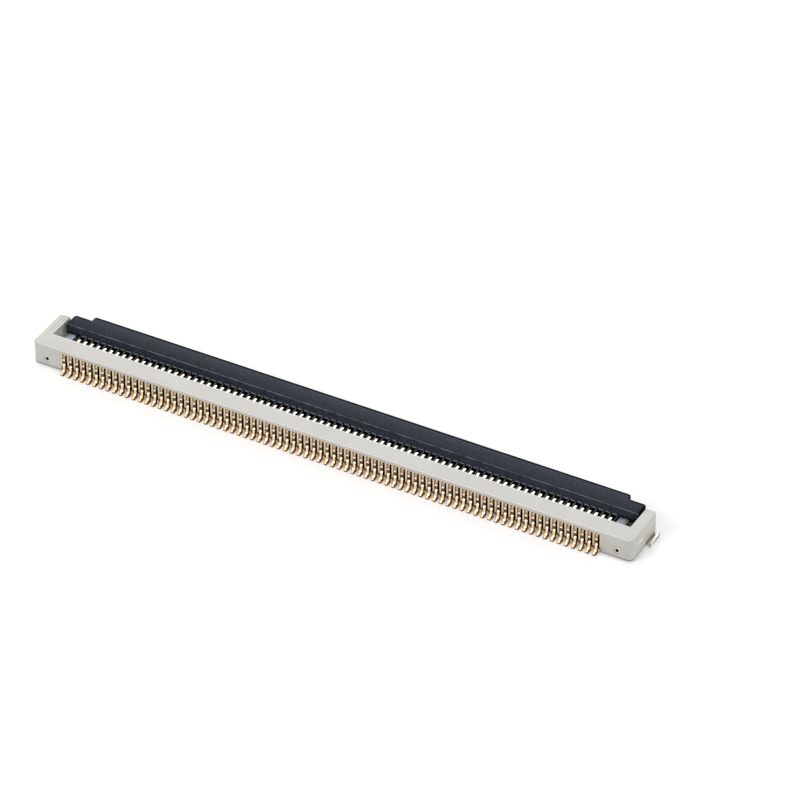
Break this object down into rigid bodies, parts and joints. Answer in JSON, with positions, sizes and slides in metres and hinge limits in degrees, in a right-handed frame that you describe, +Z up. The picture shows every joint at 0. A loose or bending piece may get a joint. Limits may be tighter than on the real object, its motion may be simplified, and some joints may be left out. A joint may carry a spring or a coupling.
{
  "type": "flat-cable board connector",
  "caption": "Fine-pitch board connector for flat flexible cable, ivory shell with gilt contacts and a dark flip-up locking lever.",
  "frame": {"origin": "on the board plane, midway between the contact tails and the lever's front, at the middle of the row", "axes": "+X along the row of contacts, +Y the way the cable mouth faces, +Z up from the board"},
  "size_m": [0.0452, 0.0048, 0.0017],
  "materials": {
    "shell": "satin, ivory",
    "lever": "fine grained, charcoal",
    "contacts": "gilt",
    "nails": "tinned, brushed"
  },
  "bodies": {
    "base": {"housing": "shell", "nail_left": "nails", "nail_right": "nails", "contact_pair_01": "contacts", "contact_pair_02": "contacts", "contact_pair_03": "contacts", "contact_pair_04": "contacts", "contact_pair_05": "contacts", "contact_pair_06": "contacts", "contact_pair_07": "contacts", "contact_pair_08": "contacts", "contact_pair_09": "contacts", "contact_pair_10": "contacts", "contact_pair_11": "contacts", "contact_pair_12": "contacts", "contact_pair_13": "contacts", "contact_pair_14": "contacts", "contact_pair_15": "contacts", "contact_pair_16": "contacts", "contact_pair_17": "contacts", "contact_pair_18": "contacts", "contact_pair_19": "contacts", "contact_pair_20": "contacts", "contact_pair_21": "contacts", "contact_pair_22": "contacts", "contact_pair_23": "contacts", "contact_pair_24": "contacts", "contact_pair_25": "contacts", "contact_pair_26": "contacts", "contact_pair_27": "contacts", "contact_pair_28": "contacts", "contact_pair_29": "contacts", "contact_pair_30": "contacts", "contact_pair_31": "contacts", "contact_pair_32": "contacts", "contact_pair_33": "contacts", "contact_pair_34": "contacts", "contact_pair_35": "contacts", "contact_pair_36": "contacts", "contact_pair_37": "contacts", "contact_pair_38": "contacts", "contact_pair_39": "contacts", "contact_pair_40": "contacts"},
    "lever": {"lever": "lever"}
  },
  "joints": [
    {"name": "lever_hinge", "type": "hinge", "parent": "base", "child": "lever", "pos_m": [0, -0.0001, 0.00106], "axis": [1, 0, 0], "range_deg": [0, 90]}
  ]
}
